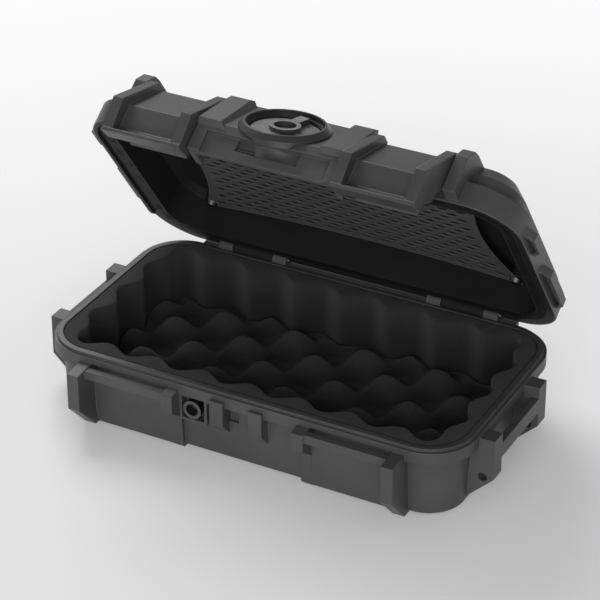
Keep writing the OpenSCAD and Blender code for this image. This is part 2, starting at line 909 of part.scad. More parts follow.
// Pocket for the dial, bore for the barrel, and the duct into the lid
module lid_valve_cuts() {
    at_valve() {
        translate([0, 0, -pocket_d])
            cylinder(h = pocket_d + cut, r = pocket_r);
        translate([0, 0, -barrel_l])
            cylinder(h = barrel_l, r = valve_barrel_r);
        translate([0, 0, -plenum_d])
            cylinder(h = plenum_d, r = plenum_r);
    }
    translate([0, duct_y, duct_z])
        rotate([-90, 0, 0])
            cylinder(h = front_y + lid_hollow_in + cut - duct_y, r = duct_r);
}

// Rubber seal in the lid's groove, just short of the base's rim
module lid_gasket() {
    color(seal_black)
        opened()
            rim_ring(groove_in, groove_in + groove_w, base_h + fit_gap, lid_z + groove_h);
}

// Outline of the net: drawn in between its corners
function bow(t, depth) = depth * (1 - pow(2 * t - 1, 2));
net_outline = concat(
    [for (i = [0 : net_steps])
        [-net_x + net_corner + 2 * (net_x - net_corner) * i / net_steps,
         -net_y + bow(i / net_steps, net_bow_y)]],
    [for (i = [0 : net_steps])
        [net_x - bow(i / net_steps, net_bow_x),
         -net_y + net_corner + 2 * (net_y - net_corner) * i / net_steps]],
    [for (i = [0 : net_steps])
        [net_x - net_corner - 2 * (net_x - net_corner) * i / net_steps,
         net_y - bow(i / net_steps, net_bow_y)]],
    [for (i = [0 : net_steps])
        [-net_x + bow(i / net_steps, net_bow_x),
         net_y - net_corner - 2 * (net_y - net_corner) * i / net_steps]]
);

// Net with rows of slots that are pointed at both ends, every other row set over by half a pitch
module lid_net() {
    pitch_x = slot_field_x / net_slots;
    pitch_y = slot_field_y / net_rows;
    slot_l = slot_share_x * pitch_x;
    slot_w = slot_share_y * pitch_y;
    color(net_grey)
        opened()
            translate([0, 0, net_z])
                linear_extrude(net_t)
                    difference() {
                        polygon(net_outline);
                        for (j = [0 : net_rows - 1], i = [0 : net_slots - 1])
                            translate([
                                (i + row_shift_share * (j % 2 + 1 / 2)) * pitch_x - slot_field_x / 2,
                                (j + 1 / 2) * pitch_y - slot_field_y / 2
                            ])
                                polygon([
                                    [-slot_l / 2, 0], [0, -slot_w / 2], [slot_l / 2, 0], [0, slot_w / 2]
                                ]);
                        for (x = [-1, 1], y = [-1, 1])
                            translate([x * screw_x, y * screw_y])
                                circle(screw_r);
                    }
}

// Screws that hold the net's corners to the posts
module net_screws() {
    color(steel_grey)
        opened()
            for (x = [-1, 1], y = [-1, 1])
                translate([x * screw_x, y * screw_y, net_z]) {
                    cylinder(h = screw_l, r = screw_r);
                    translate([0, 0, -head_h])
                        cylinder(h = head_h, r1 = head_r - head_h / 2, r2 = head_r);
                }
}

// Pin of one latch, from the hood's cheek to the outer ear
module latch_pin(s) {
    inner = bay_c - bay_w / 2 - hood_wall + cut;
    outer = bay_c + bay_w / 2 + latch_pin_end;
    rod_x(s * (inner + outer) / 2, pivot_y, pivot_z, outer - inner, latch_pin_r);
}

module latch_pins() {
    color(steel_grey)
        opened()
            for (s = [-1, 1])
                latch_pin(s);
}

// Side plate of a lever: proud of the front, back to the pivot, and round the hook's pin
lever_plate = [
    [lever_y - plate_out, lip_low],
    [lever_y - plate_out - plate_lean, lever_bend - cut],
    [lever_top_y - plate_out / 2, lever_bend + lever_rise + plate_out / 2],
    [lever_top_y + plate_end, lever_bend + lever_rise + plate_out / 2],
    [pivot_y + barrel_r - fit_gap, pivot_z + barrel_r / 2],
    [pivot_y + barrel_r - cut, pivot_z - barrel_r / 2 - cut],
    [hook_y + hook_barrel_r + cut, hook_z + hook_barrel_r / 2],
    [hook_y + hook_barrel_r, hook_z - hook_barrel_r],
    [lever_y + lever_t + cut, lever_low + cut],
    [lever_y + lever_t, lip_low + cut]
];

// Front of a lever: upright, then bevelled to match the hood, with a flared lip to pull on
lever_front = [
    [lever_y, lever_low], [lever_y, lever_bend], [lever_top_y, lever_bend + lever_rise],
    [lever_top_y + lever_t * sin(bevel_angle), lever_bend + lever_rise - lever_t * sin(bevel_angle)],
    [lever_y + lever_t, lever_bend - lever_t * tan(bevel_angle / 2)],
    [lever_y + lever_t, lip_low + cut],
    [lever_y - lip_out, lip_low], [lever_y - lip_out, lip_low + lip_thick]
];

module latch_lever(s) {
    lever_w = bay_w - 2 * lever_gap;
    color(case_black)
        opened()
            translate([s * bay_c, 0, 0])
                difference() {
                    union() {
                        prism_x(0, lever_w, lever_front);
                        for (t = [-1, 1])
                            prism_x(t * (lever_w - plate_t) / 2, plate_t, lever_plate);
                        rod_x(0, pivot_y, pivot_z, lever_w, barrel_r);
                    }
                    rod_x(0, pivot_y, pivot_z, lever_w + 2 * cut, latch_pin_r + run_gap);
                    rod_x(0, hook_y, hook_z, lever_w - 2 * hook_pin_in, hook_pin_r);
                }
}

module hook_pin(s) {
    color(steel_grey)
        opened()
            rod_x(s * bay_c, hook_y, hook_z, bay_w - 2 * lever_gap - 2 * hook_pin_in, hook_pin_r);
}

// Hook's pin where the latch is locked, and the jaw that lies under the catch bar there
locked_y = pivot_y + (hook_y - pivot_y) * cos(latch_free) - (hook_z - pivot_z) * sin(latch_free);
locked_z = pivot_z + (hook_y - pivot_y) * sin(latch_free) + (hook_z - pivot_z) * cos(latch_free);
jaw_top = bar_low - jaw_gap;
hook_jaw = [
    [locked_y - hook_barrel_r * sin(bevel_angle), locked_z - hook_barrel_r * sin(bevel_angle)],
    [locked_y + hook_barrel_r, jaw_top - jaw_t], [jaw_tip_y, jaw_top - jaw_t], [jaw_tip_y, jaw_top],
    [locked_y + hook_barrel_r + cut, jaw_top], [locked_y + hook_barrel_r * sin(bevel_angle), locked_z + cut]
];

// Hook, drawn under the bar and turned back to where it hangs at rest
module latch_hook(s) {
    hook_w = bay_w - 2 * lever_gap - 2 * plate_t - 2 * hook_gap;
    color(steel_grey)
        opened()
            about(pivot_y, pivot_z, -latch_free)
                about(locked_y, locked_z, -latch_free * hook_share)
                    difference() {
                        union() {
                            rod_x(s * bay_c, locked_y, locked_z, hook_w, hook_barrel_r);
                            prism_x(s * bay_c, hook_w, hook_jaw);
                        }
                        rod_x(s * bay_c, locked_y, locked_z, hook_w + 2 * cut,
                              hook_pin_r + run_gap);
                    }
}

// Barrel and seat of the valve, with an air way through it
module valve_body() {
    color(case_black)
        opened()
            at_valve()
                difference() {
                    union() {
                        translate([0, 0, -pocket_d])
                            cylinder(h = body_disc_t, r = dial_r);
                        translate([0, 0, -barrel_l])
                            cylinder(h = barrel_l - pocket_d + body_disc_t / 2, r = valve_barrel_r);
                    }
                    translate([0, 0, -barrel_l - cut])
                        cylinder(h = barrel_l + cut, r = stem_r + run_gap);
                    translate([0, 0, -barrel_l - cut])
                        cylinder(h = barrel_l - membrane_d + cut, r = membrane_r);
                    translate([0, 0, -pocket_d + body_disc_t - seal_cord_r / 2])
                        rotate_extrude()
                            translate([seal_ring_r, 0])
                                circle(seal_cord_r);
                }
}

module valve_seal() {
    color(seal_black)
        opened()
            at_valve()
                translate([0, 0, -pocket_d + body_disc_t - seal_cord_r / 2])
                    rotate_extrude()
                        translate([seal_ring_r, 0])
                            circle(seal_cord_r);
}

module valve_membrane() {
    color(net_grey)
        opened()
            at_valve()
                translate([0, 0, -membrane_d - membrane_t])
                    cylinder(h = membrane_t, r = membrane_r);
}

// Ring that stands round the dial, with a sleeve in the pocket
module valve_bezel() {
    color(case_black)
        opened()
            at_valve()
                difference() {
                    union() {
                        cylinder(h = bezel_foot, r = bezel_r);
                        translate([0, 0, bezel_foot])
                            cylinder(h = bezel_h - bezel_foot, r1 = bezel_r, r2 = bezel_top_r);
                        translate([0, 0, -pocket_d])
                            cylinder(h = pocket_d + cut, r = pocket_r);
                    }
                    translate([0, 0, -pocket_d - cut])
                        cylinder(h = pocket_d + bezel_h + 2 * cut, r = dial_r + fit_gap);
                    translate([0, 0, bezel_foot])
                        cylinder(h = bezel_h, r = bezel_in_r);
                }
}

// A wedge between two angles, from the dial's axis
module wedge(turn0, turn1) {
    reach = 2 * dial_r;
    polygon([
        [0, 0], reach * [cos(turn0), sin(turn0)],
        reach * [cos((turn0 + turn1) / 2), sin((turn0 + turn1) / 2)], reach * [cos(turn1), sin(turn1)]
    ]);
}

// Dial with a stepped face, a raised ring, a finger tab and a stem that turns in the body
module valve_dial() {
    color(steel_grey)
        opened()
            at_valve() {
                difference() {
                    union() {
                        translate([0, 0, dial_low])
                            cylinder(h = dial_top - dial_low, r = dial_r);
                        translate([0, 0, dial_low])
                            linear_extrude(dial_top - dial_low + dial_step)
                                difference() {
                                    circle(dial_r - dial_rim);
                                    for (t = step_turns)
                                        wedge(t[0], t[1]);
                                }
                        translate([0, 0, dial_low])
                            cylinder(h = dial_top - dial_low + hub_h, r = hub_r);
                        rotate([0, 0, tab_turn])
                            translate([0, -tab_w / 2, dial_low])
                                cube([tab_l, tab_w, dial_top - dial_low + hub_h]);
                    }
                    translate([0, 0, dial_top])
                        cylinder(h = hub_h + cut, r = hub_in_r);
                }
                translate([0, 0, stem_end])
                    cylinder(h = dial_low - stem_end + dial_step, r = stem_r);
            }
}

module latch_lever_left() { latch_lever(-1); }
module latch_lever_right() { latch_lever(1); }
module hook_pin_left() { hook_pin(-1); }
module hook_pin_right() { hook_pin(1); }
module latch_hook_left() { latch_hook(-1); }
module latch_hook_right() { latch_hook(1); }

base_shell();
lock_bush();
foam_liner();
foam_pad();
hinge_pins();
lid_shell();
lid_gasket();
lid_net();
net_screws();
latch_pins();
valve_body();
valve_bezel();
valve_seal();
valve_membrane();
valve_dial();
latch_lever_left();
hook_pin_left();
latch_hook_left();
latch_lever_right();
hook_pin_right();
latch_hook_right();
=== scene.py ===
"""Looks of the pressure gauge case: finishes for its CAD parts, soft foam and net pieces, and the stage."""

import math

import bmesh
import bpy
import numpy as np
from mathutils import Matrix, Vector


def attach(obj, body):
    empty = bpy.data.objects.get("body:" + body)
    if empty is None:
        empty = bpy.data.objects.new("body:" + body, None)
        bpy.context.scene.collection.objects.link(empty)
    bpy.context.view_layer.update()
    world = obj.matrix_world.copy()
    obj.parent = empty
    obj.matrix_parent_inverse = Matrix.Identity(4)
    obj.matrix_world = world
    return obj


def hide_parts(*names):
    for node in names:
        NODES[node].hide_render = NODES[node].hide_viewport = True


bl_info = {
    "name": "Pressure gauge case",
    "version": (1, 0, 0),
    "blender": (4, 5, 0),
    "location": "View3D > Sidebar > Gauge case",
    "description": "Finishes, foam, net and stage for a small hard case with a hinged lid",
    "category": "Object",
}

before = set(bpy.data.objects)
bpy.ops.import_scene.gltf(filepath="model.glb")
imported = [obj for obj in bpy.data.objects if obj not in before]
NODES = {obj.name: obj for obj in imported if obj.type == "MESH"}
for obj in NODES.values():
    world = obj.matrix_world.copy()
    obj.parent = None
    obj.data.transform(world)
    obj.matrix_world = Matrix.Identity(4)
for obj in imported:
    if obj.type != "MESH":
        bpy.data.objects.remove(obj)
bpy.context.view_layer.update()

MM = 0.001

# The case's outline, as in the part's source: half its size, its corner radius, and its rim's height (mm)
CASE_HALF = (116.0, 64.0)
CASE_CORNER = 25.0
BASE_H = 41.0

# The hinge's axis (Y and Z, mm), the lid's angle as photographed, and the slope under the valve (degrees)
HINGE = (65.2, 41.4)
LID_OPEN = 54.0
BEVEL_ANGLE = 45.0

# The closed lid's core side (mm): how far in its hollow starts, the heights where its walls start to lean
# in and where they end, how far out the rim goes, and the height just over the rim's underside
HOLLOW_IN = 8.2
HOLLOW_LEAN_Z = 61.0
HOLLOW_TOP_Z = 65.6
RIM_OUT = 0.6
RIM_UNDER_Z = 41.75

# The foam liner (mm): how far in its waves' middle line is, and how far out from there its back and lip are
WAVE_IN = 13.0
LINER_BACK = 3.7
LIP_REACH = 8.0
LINER_FOOT_Z = 8.8
LIP_UNDER_Z = 38.6
LINER_FOOT_R = 0.4
LIP_R = 1.1
LINER_EDGE_R = 1.5

# The foam pad (mm): its gap to the liner, its underside, the height of its border and the width over which
# the domes fade out to it, how far the dips lie below it, the width and drop of the pad's rounded rim, and
# the distance between rows of domes
PAD_GAP = 0.35
PAD_FOOT_Z = 4.55
PAD_BORDER_Z = 11.5
PAD_BORDER = 10.0
PAD_DIP = 3.2
PAD_RIM = 2.5
PAD_RIM_DROP = 2.0
DOME_ROW = 17.0

# The closed lid's net (mm): half its flat size, how far its sides bow in, its height and thickness
NET_HALF = (91.8, 51.8)
NET_BOW = (12.7, 6.4)
NET_Z = 56.4
NET_T = 0.6

# The hem (mm): half its width and thickness, and how far in from the net's edge it runs
HEM_HALF = (1.0, 0.5)
HEM_IN = 0.9

# A hole of the net as shares of a brick's size, and the plain border as shares of the net's half size
NET_LENS = (0.66, 0.56)
NET_MARGIN = (0.035, 0.07)

# How fine the meshes are: points round the liner, the pad's grid, border strips, points of a hem's side
LINER_POINTS = 1056
PAD_COLUMNS = 321
PAD_ROWS = 141
BORDER_STRIPS = 4
HEM_POINTS = 80

# The stage (m): half the floor's width, the lights' places and widths, and the point that they face
FLOOR_HALF = 6.0
KEY_PLACE = (-0.9, 0.8, 1.25)
KEY_WIDTH = 1.0
FILL_PLACE = (0.6, -1.7, 0.42)
FILL_WIDTH = 1.4
LIT_POINT = (0.0, 0.0, 0.05)
WORLD_LIGHT = 0.3

# The camera fitted to the photograph: degrees to the right and down, its distance and target (m), its lens
# and sensor (mm)
CAMERA_AZIMUTH = 27.87
CAMERA_ELEVATION = 30.59
CAMERA_DISTANCE = 1.3562
CAMERA_TARGET = (-0.03368, 0.06457, 0.02)
CAMERA_LENS = 153.3
CAMERA_SENSOR = 36.0


# Sockets and materials

class Number:
    """A number socket of a material that adds Math nodes where Python operators are used on it."""

    def __init__(self, paint, socket):
        self.paint = paint
        self.socket = socket

    def _math(self, operation, *others):
        return self.paint.node("ShaderNodeMath", {"operation": operation}, [self, *others])

    def __add__(self, other):
        return self._math("ADD", other)

    def __radd__(self, other):
        return self._math("ADD", other)

    def __mul__(self, other):
        return self._math("MULTIPLY", other)

    def __rmul__(self, other):
        return self._math("MULTIPLY", other)

    def __sub__(self, other):
        return self._math("SUBTRACT", other)

    def __rsub__(self, other):
        return self.paint.node("ShaderNodeMath", {"operation": "SUBTRACT"}, [other, self])

    def __pow__(self, other):
        return self._math("POWER", other)

    def above(self, level):
        return self._math("GREATER_THAN", level)

    def most(self, other):
        return self._math("MAXIMUM", other)

    def size(self):
        return self._math("ABSOLUTE")

    def sine(self):
        return self._math("SINE")

    def clamped(self):
        return self.paint.node("ShaderNodeClamp", {}, {"Value": self}, "Result")

    def ramp(self, low, high, to_low=0.0, to_high=1.0):
        """This value taken from low..high to to_low..to_high, held at the ends, with soft turns."""
        values = {"Value": self, "From Min": low, "From Max": high, "To Min": to_low, "To Max": to_high}
        return self.paint.node("ShaderNodeMapRange", {"interpolation_type": "SMOOTHSTEP"}, values, "Result")


class Paint:
    """A material under construction."""

    def __init__(self, name):
        self.material = bpy.data.materials.new(name)
        self.material.use_nodes = True
        self.tree = self.material.node_tree
        self.tree.nodes.clear()
        self.out = self.tree.nodes.new("ShaderNodeOutputMaterial")
        self.where = self.node("ShaderNodeTexCoord", {}, {}, "Object")

    def node(self, kind, settings=None, values=None, output=0):
        """Makes a node and gives one of its outputs. Its settings come first, as its sockets depend on
        them, and then the values or links of the sockets."""
        made = self.tree.nodes.new(kind)
        for key, value in (settings or {}).items():
            setattr(made, key, value)
        pairs = values.items() if isinstance(values, dict) else enumerate(values or [])
        for key, value in pairs:
            socket = made.inputs[key]
            if isinstance(value, Number):
                self.tree.links.new(value.socket, socket)
            else:
                socket.default_value = value
        return Number(self, made.outputs[output])

    def noise(self, scale, detail=3.0, rough=0.55, where=None):
        values = {"Vector": where or self.where, "Scale": scale, "Detail": detail, "Roughness": rough}
        return self.node("ShaderNodeTexNoise", {}, values, "Fac")

    def cells(self, scale):
        values = {"Vector": self.where, "Scale": scale}
        return self.node("ShaderNodeTexVoronoi", {"feature": "F1"}, values, "Distance")

    def axis(self, name, vector=None):
        return self.node("ShaderNodeSeparateXYZ", {}, [vector or self.where], name)

    def stretched(self, scale, turn=(0.0, 0.0, 0.0)):
        return self.node("ShaderNodeMapping", {}, {"Vector": self.where, "Scale": scale, "Rotation": turn})

    def mix(self, share, first, second, blend="MIX"):
        """A colour between two colours, by share."""
        settings = {"data_type": "RGBA", "blend_type": blend, "clamp_factor": True}
        return self.node("ShaderNodeMix", settings, {0: share, 6: first, 7: second}, 2)

    def edge(self, radius):
        """The normal softened over the radius, and how far it turns from the true one: 0 on a flat face and
        up to 0.3 at a square edge."""
        soft = self.node("ShaderNodeBevel", {"samples": 6}, {"Radius": radius}, "Normal")
        true = self.node("ShaderNodeNewGeometry", {}, {}, "Normal")
        flat = self.node("ShaderNodeVectorMath", {"operation": "DOT_PRODUCT"}, [soft, true], "Value")
        return soft, 1.0 - flat

    def finish(self, colour, rough, bump, depth, under=None, dull=None, **constants):
        """Wires one Principled shader: colour, roughness, a bump of depth metres over the normal under, and
        constants of its sockets, whose names have _ for a space. Where dull is 1, the same shader with
        little gloss takes its place."""
        values = {"Base Color": colour, "Roughness": rough}
        heights = {"Height": bump, "Strength": 1.0, "Distance": depth}
        if under is not None:
            heights["Normal"] = under
        values["Normal"] = self.node("ShaderNodeBump", {}, heights)
        values.update({key.replace("_", " "): value for key, value in constants.items()})
        shader = self.node("ShaderNodeBsdfPrincipled", {}, values)
        if dull is not None:
            matt = self.node("ShaderNodeBsdfPrincipled", {}, {**values, "Specular IOR Level": 0.1})
            shader = self.node("ShaderNodeMixShader", {}, {0: dull, 1: shader, 2: matt})
        self.tree.links.new(shader.socket, self.out.inputs["Surface"])
        return self.material


def grey(level, warm=0.0):
    return (level * (1 + warm), level, level * (1 - warm), 1.0)


def inside_lid(p):
    """1 where the lid's plastic gets painted shade and 0 elsewhere: the lid's core side, that is its hollow
    and the underside of its rim. Places are turned back about the hinge to the closed lid. A place's depth
    in from the case's outline is the corner radius less its distance from the rectangle of the corners'
    centres."""
    centre = (0.0, HINGE[0] * MM, HINGE[1] * MM)
    values = {"Vector": p.where, "Center": centre, "Angle": math.radians(LID_OPEN)}
    turned = p.node("ShaderNodeVectorRotate", {"rotation_type": "X_AXIS"}, values)
    x, y, z = (p.axis(name, turned) for name in "XYZ")
    beyond_x = (x.size() - (CASE_HALF[0] - CASE_CORNER) * MM).most(0.0)
    beyond_y = (y.size() - (CASE_HALF[1] - CASE_CORNER) * MM).most(0.0)
    depth = CASE_CORNER * MM - (beyond_x * beyond_x + beyond_y * beyond_y) ** 0.5
    lean = (z - HOLLOW_LEAN_Z * MM).most(0.0)
    hollow = (depth - lean).above(HOLLOW_IN * MM) * (HOLLOW_TOP_Z * MM - z).above(0.0)
    rim = depth.above(-RIM_OUT * MM) * (RIM_UNDER_Z * MM - z).above(0.0)
    return hollow.most(rim)


def moulded_plastic(name, level, rough, grain, edge_radius, edge_highlight_share, hollow=None):
    """Black moulded plastic: fine spark texture, faint flow marks, softened edges with a painted highlight
    along them. The faces that hollow marks get painted shade: they are made darker and duller."""
    p = Paint(name)
    soft, turn = p.edge(edge_radius)
    # Painted highlight: the edges are made lighter, as if they caught the light, broken up by noise.
    edge_highlight = turn.ramp(0.02, 0.16) * p.noise(190.0, 2.0).ramp(0.35, 0.62, 0.35, 1.0)
    cloud = p.noise(22.0, 3.0)
    dust = p.noise(480.0, 2.0).ramp(0.62, 0.78)
    base = p.mix(cloud.ramp(0.3, 0.7), grey(level * 0.86), grey(level * 1.14))
    base = p.mix(dust * 0.3, base, grey(level * 2.1, 0.02))
    base = p.mix(edge_highlight * edge_highlight_share, base, grey(level * 2.6, 0.01))
    gloss = cloud.ramp(0.25, 0.75, rough - 0.05, rough + 0.06) + dust * 0.12 - edge_highlight * 0.08
    painted_shade = None
    if hollow is not None:
        # Painted shade: the lid's hollow and the underside of its rim are made darker and duller.
        painted_shade = hollow(p)
        base = p.mix(painted_shade, base, p.mix(cloud, grey(level * 0.2), grey(level * 0.36)))
    spark = p.noise(2300.0, 2.0, 0.6) + p.cells(3100.0) * 0.5
    return p.finish(base, gloss.clamped(), spark, grain, soft, painted_shade, IOR=1.49)


def satin_plastic(name, level, rough, edge_radius):
    """Smoother moulded plastic of the latches and the bezel: soft sheen, a painted highlight on the edges,
    faint scratches.
    """
    p = Paint(name)
    soft, turn = p.edge(edge_radius)
    # Painted highlight: the edges are made lighter.
    edge_highlight = turn.ramp(0.02, 0.15)
    cloud = p.noise(40.0, 3.0)
    drawn = p.noise(1.0, 4.0, 0.6, p.stretched((90.0, 1500.0, 90.0), (0.0, 0.3, 0.5)))
    scratch = drawn.ramp(0.66, 0.74)
    base = p.mix(cloud.ramp(0.3, 0.7), grey(level * 0.9), grey(level * 1.12))
    base = p.mix(scratch * 0.25, base, grey(level * 2.0))
    base = p.mix(edge_highlight * 0.5, base, grey(level * 2.2))
    gloss = cloud.ramp(0.25, 0.75, rough - 0.04, rough + 0.05) + scratch * 0.1
    return p.finish(base, gloss.clamped(), p.noise(1900.0, 2.0), 0.000006, soft, IOR=1.5)


def foam_skin(name, level, pore, lift, low, high, deep):
    """Open-cell foam: tiny dark pores between pale cell walls, with a soft sheen of loose fibres. Its
    colour carries painted shade that deepens downwards: it goes from deep times the level at the height low
    to the level at the height high (mm)."""
    p = Paint(name)
    pores = p.cells(pore)
    fine = p.cells(pore * 2.3)
    cloud = p.noise(60.0, 3.0)
    open_cell = pores.ramp(0.15, 0.6)
    rise = p.axis("Z").ramp(low * MM, high * MM)
    base = p.mix(open_cell, grey(level * 0.55), grey(level * 1.3))
    base = p.mix(cloud.ramp(0.3, 0.7) * 0.5, base, grey(level * 0.8))
    # Painted shade: lower down, the foam is made darker.
    base = p.mix(rise, p.mix(1.0, base, grey(deep), "MULTIPLY"), base)
    height = open_cell * 0.7 + fine.ramp(0.1, 0.6) * 0.3
    sheen = {"Sheen_Weight": 0.12, "Sheen_Roughness": 0.6, "Specular_IOR_Level": 0.25}
    return p.finish(base, 0.96, height, lift, **sheen)


def net_cloth(name, level):
    """Knitted polyester net: fine ribs along the threads, slightly shiny."""
    p = Paint(name)
    ribs = (p.axis("X") * 5200.0).sine() * 0.5 + 0.5
    cross = (p.axis("Z") * 3600.0).sine() * 0.5 + 0.5
    weave = ribs * 0.6 + cross * 0.4
    loose = p.noise(900.0, 3.0)
    base = p.mix(weave, grey(level * 0.6), grey(level * 1.35))
    base = p.mix(loose.ramp(0.5, 0.75) * 0.4, base, grey(level * 1.9))
    return p.finish(base, weave.ramp(0.0, 1.0, 0.62, 0.78), weave + loose * 0.4, 0.00012)


def turned_metal(name, level, rough):
    """Steel pins, screws and bush: fine turning lines, a few dull spots."""
    p = Paint(name)
    spots = p.noise(160.0, 4.0).ramp(0.45, 0.7)
    lines = p.noise(1.0, 3.0, 0.6, p.stretched((300.0, 300.0, 4200.0)))
    base = p.mix(spots * 0.5, grey(level), grey(level * 0.55))
    gloss = spots.ramp(0.0, 1.0, rough, rough + 0.18) + lines * 0.08
    return p.finish(base, gloss.clamped(), lines, 0.000008, Metallic=1.0)


def dial_plastic(name, level):
    """Grey moulded valve dial: satin, with fine grain and a painted highlight on its edges. Its walls get
    painted shade: faces that look out along the dial's axis keep the full grey, and the walls are darker."""
    p = Paint(name)
    soft, turn = p.edge(0.0005)
    # Painted highlight: the edges are made lighter.
    edge_highlight = turn.ramp(0.02, 0.15)
    cloud = p.noise(120.0, 4.0)
    base = p.mix(cloud.ramp(0.35, 0.65), grey(level * 0.8), grey(level * 1.15))
    tilt = math.radians(LID_OPEN - BEVEL_ANGLE)
    dial_axis = (0.0, math.sin(tilt), math.cos(tilt))
    normal = p.node("ShaderNodeTexCoord", {}, {}, "Normal")
    painted_shade_facing = p.node("ShaderNodeVectorMath", {"operation": "DOT_PRODUCT"}, [normal, dial_axis], "Value")
    # Painted shade: the dial's walls are made darker than the faces that look out along its axis.
    base = p.mix(painted_shade_facing.ramp(0.6, 0.95), grey(level * 0.25), base)
    base = p.mix(edge_highlight * 0.5, base, grey(min(level * 1.5, 0.8)))
    gloss = cloud.ramp(0.3, 0.7, 0.3, 0.42) - edge_highlight * 0.1
    grain = p.noise(2600.0, 3.0) + p.cells(1500.0) * 0.4
    return p.finish(base, gloss.clamped(), grain, 0.00002, soft, IOR=1.55)


def soft_rubber(name, level):
    """Gasket rubber: matt, with a faint bloom and moulding grain."""
    p = Paint(name)
    bloom = p.noise(140.0, 4.0).ramp(0.4, 0.75)
    base = p.mix(bloom * 0.6, grey(level), grey(level * 1.7))
    gloss = bloom.ramp(0.0, 1.0, 0.55, 0.8)
    return p.finish(base, gloss, p.noise(1600.0, 3.0), 0.00003, Specular_IOR_Level=0.15)


def vent_membrane(name):
    """Breathing membrane of the valve: fine fibrous white-grey sheet."""
    p = Paint(name)
    fibres = p.noise(1.0, 5.0, 0.65, p.stretched((900.0, 2600.0, 900.0)))
    base = p.mix(fibres.ramp(0.35, 0.65), grey(0.45), grey(0.7))
    return p.finish(base, fibres.ramp(0.0, 1.0, 0.6, 0.8), fibres, 0.00003)


def wear(names, material):
    """Puts one material on every slot of the named CAD nodes."""
    for name in names:
        slots = NODES[name].data.materials
        if not len(slots):
            slots.append(material)
        for i in range(len(slots)):
            slots[i] = material


# Surfaces

def make_mesh(name, points, faces, material, smooth=True):
    """A new object at the origin from an array of points (mm) and an array or list of faces."""
    mesh = bpy.data.meshes.new(name)
    mesh.from_pydata((np.asarray(points) * MM).tolist(), [], np.asarray(faces).tolist())
    mesh.update()
    mesh.polygons.foreach_set("use_smooth", np.full(len(mesh.polygons), smooth))
    piece = bpy.data.objects.new(name, mesh)
    bpy.context.scene.collection.objects.link(piece)
    mesh.materials.append(material)
    return piece


def grid_faces(rows, columns, wrap_rows=False, wrap_columns=False):
    """Quads between neighbours of a rows x columns grid of points, numbered row by row."""
    i = np.arange(rows if wrap_rows else rows - 1)
    j = np.arange(columns if wrap_columns else columns - 1)
    i, j = (a.ravel() for a in np.meshgrid(i, j, indexing="ij"))
    here, below = i * columns, (i + 1) % rows * columns
    right = (j + 1) % columns
    return np.stack([here + j, here + right, below + right, below + j], axis=1)


def opened(points):
    """Points of the closed lid (mm) turned back about the hinge to the open pose."""
    angle = math.radians(-LID_OPEN)
    y, z = points[:, 1] - HINGE[0], points[:, 2] - HINGE[1]
    turned = points.copy()
    turned[:, 1] = HINGE[0] + y * math.cos(angle) - z * math.sin(angle)
    turned[:, 2] = HINGE[1] + y * math.sin(angle) + z * math.cos(angle)
    return turned


def outline_points(inset, way):
    """Points and outward normals along the case's outline moved in by inset, at the shares way (0 to 1) of
    the way round, anticlockwise from the middle of the right side. Straights and corner arcs take turns."""
    half_x, half_y, r = CASE_HALF[0] - inset, CASE_HALF[1] - inset, CASE_CORNER - inset
    up, along, arc = half_y - r, half_x - r, math.pi / 2 * r
    marks = np.cumsum([0, up, arc, 2 * along, arc, 2 * up, arc, 2 * along, arc, up])
    s = np.mod(way, 1.0) * marks[-1]
    leg = np.clip(np.searchsorted(marks, s, side="right") - 1, 0, 8)
    t = s - marks[leg]
    turn = np.array([0, 0, 1, 1, 2, 2, 3, 3, 4])[leg] * math.pi / 2
    turn = turn + np.where(leg % 2 == 1, t / r, 0.0)
    normal = np.stack([np.cos(turn), np.sin(turn)], axis=1)
    ahead = np.stack([-np.sin(turn), np.cos(turn)], axis=1)
    centre_x = np.array([1, 1, 1, -1, -1, -1, -1, 1, 1])[leg] * along
    centre_y = np.array([0, 1, 1, 1, 1, -1, -1, -1, -1])[leg] * up
    run = np.where(leg % 2 == 1, 0.0, t)
    place = np.stack([centre_x, centre_y], axis=1) + normal * r + ahead * run[:, None]
    return place, normal


def foam_liner_surface(wave_amp, wave_count, count):
    """The liner: a closed profile of offsets from the waves' middle line and heights, carried round it. The
    inner side's offset is the wave: amplitude times the cosine of the wave count times the way round. The
    outer side is straight, and the lip on top reaches out to the base's seat. Edges are rounded by arcs."""
    way = np.arange(count) / count
    place, normal = outline_points(WAVE_IN, way)
    swing = wave_amp * np.cos(2 * math.pi * wave_count * way)
    arc = np.linspace(0, math.pi / 2, 6)
    outer = [
        (LINER_BACK - LINER_FOOT_R, LINER_FOOT_Z),
        (LINER_BACK, LINER_FOOT_Z + LINER_FOOT_R),
        (LINER_BACK, (LINER_FOOT_Z + LIP_UNDER_Z) / 2),
        (LINER_BACK, LIP_UNDER_Z),
        ((LINER_BACK + LIP_REACH) / 2, LIP_UNDER_Z),
        (LIP_REACH, LIP_UNDER_Z),
    ]
    lip_x, lip_z = LIP_REACH - LIP_R, BASE_H - LIP_R
    outer += [(lip_x + LIP_R * math.cos(a), lip_z + LIP_R * math.sin(a)) for a in arc]
    edge_z = BASE_H - LINER_EDGE_R
    inner = [(LINER_EDGE_R * (1 - math.sin(a)), edge_z + LINER_EDGE_R * math.cos(a)) for a in arc]
    inner += [(0.0, z) for z in np.linspace(edge_z, LINER_FOOT_Z, 16)[1:]]
    offset, height = np.array(outer + inner).T
    follows = np.arange(len(offset)) >= len(outer)
    reach = offset + follows * swing[:, None]
    points = np.empty(reach.shape + (3,))
    points[..., :2] = place[:, None] + normal[:, None] * reach[..., None]
    points[..., 2] = height
    return points.reshape(-1, 3), grid_faces(*reach.shape, True, True)


def wave_side(start, end, count, inset, wave_amp, wave_count):
    """Points along the liner's waves, moved in by inset, between two shares of the way round."""
    way = np.linspace(start, end, count)
    place, normal = outline_points(WAVE_IN, way)
    return place + normal * (wave_amp * np.cos(2 * math.pi * wave_count * way) - inset)[:, None]


